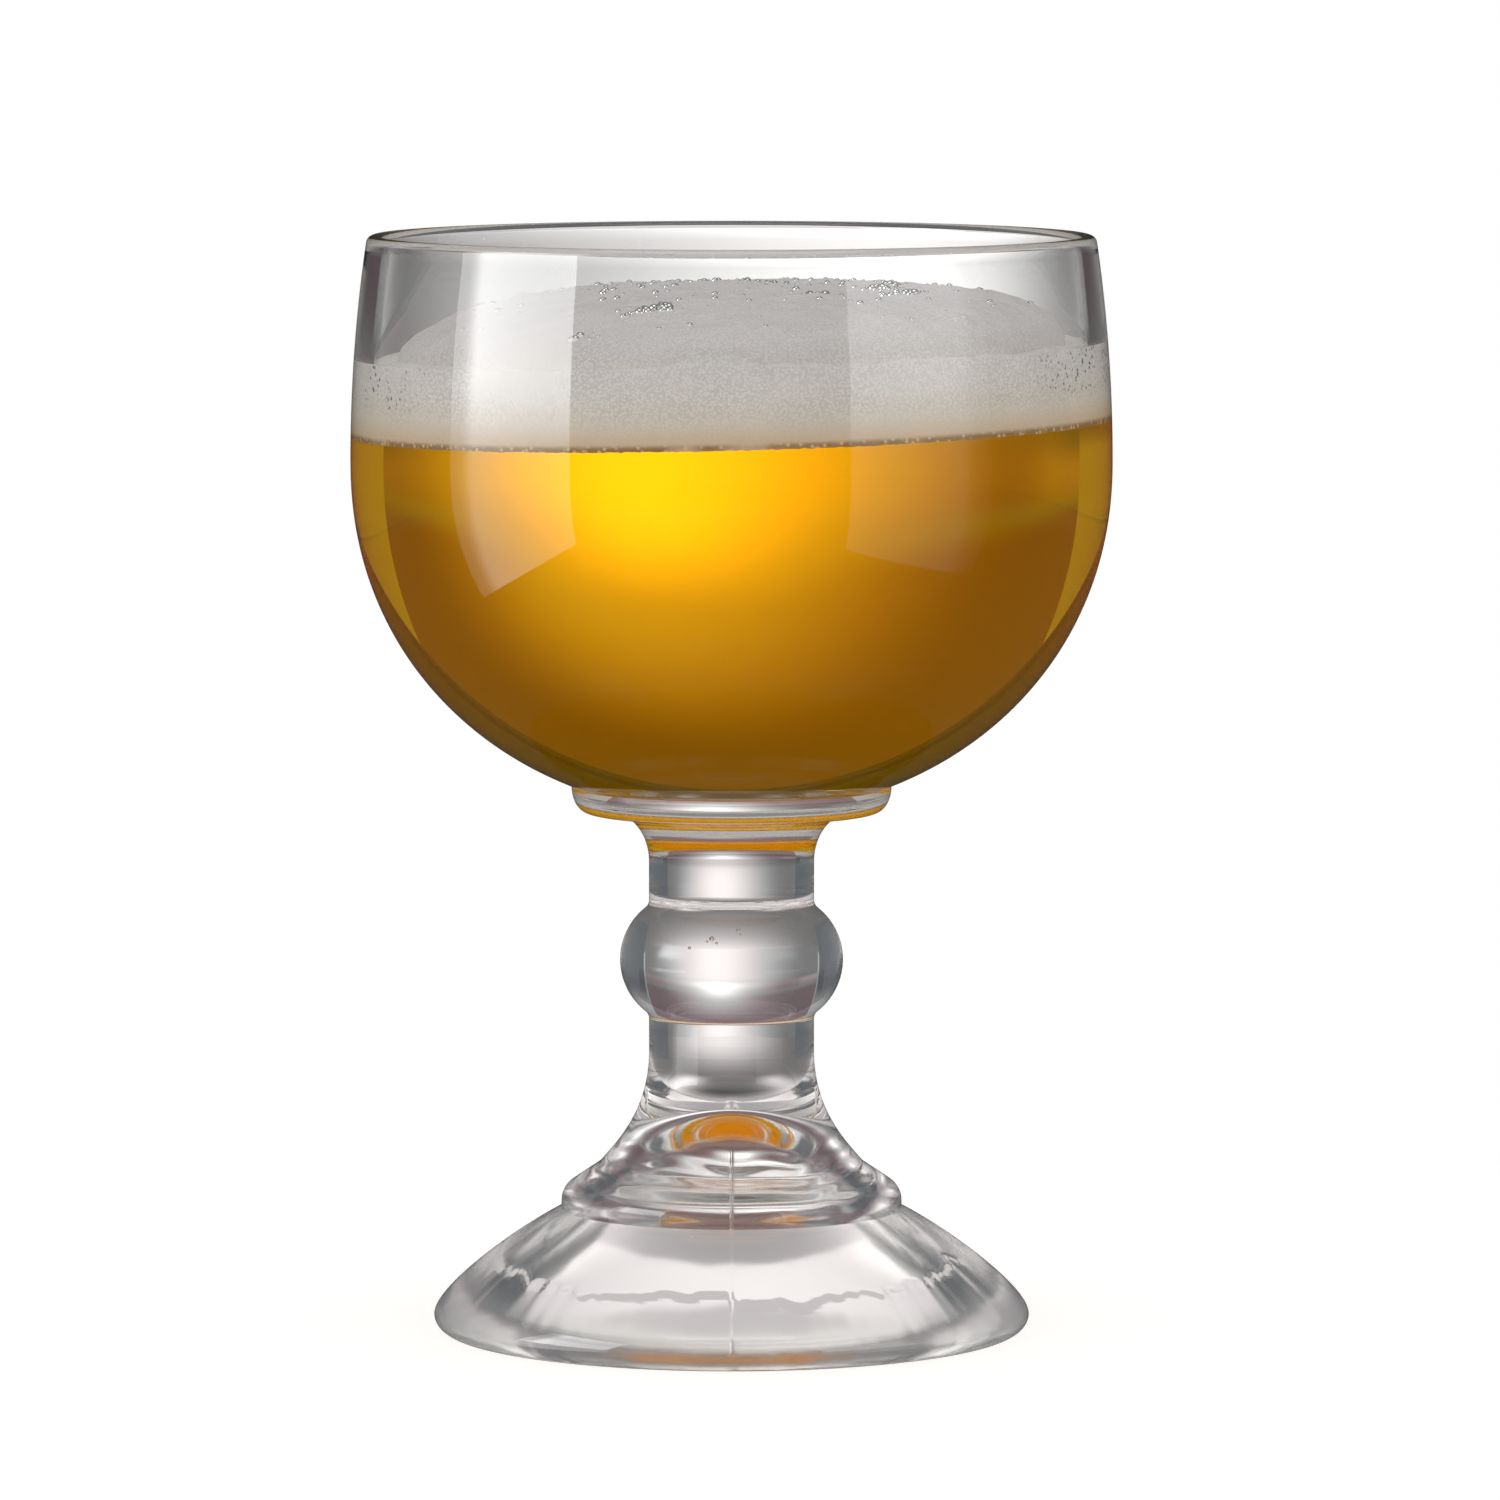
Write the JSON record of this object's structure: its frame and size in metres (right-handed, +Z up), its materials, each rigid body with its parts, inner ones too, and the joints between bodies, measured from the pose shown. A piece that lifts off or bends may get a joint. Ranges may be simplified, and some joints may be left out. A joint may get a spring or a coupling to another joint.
{
  "type": "stemmed beer schooner glass",
  "caption": "Clear stemmed beer schooner with a round bowl, ball knop and hollow bell foot, filled with amber beer under a domed head of foam.",
  "frame": {"origin": "centre of the ring that the foot stands on, on the standing plane", "axes": "+Z up along the glass's axis of revolution; -Y towards the viewer of the picture; +X to the viewer's right"},
  "size_m": [0.114, 0.114, 0.165],
  "materials": {
    "pressed_glass": "fire-polished clear soda-lime glass with faint mould seams and chill waves",
    "bowl_glass": "smooth clear blown soda-lime glass with a fire-polished rim",
    "amber_beer": null,
    "beer_foam": null
  },
  "bodies": {
    "root": {"foot": "pressed_glass", "stem": "pressed_glass", "collar": "pressed_glass", "bowl": "bowl_glass", "beer": "amber_beer", "foam_head": "beer_foam"}
  },
  "joints": []
}
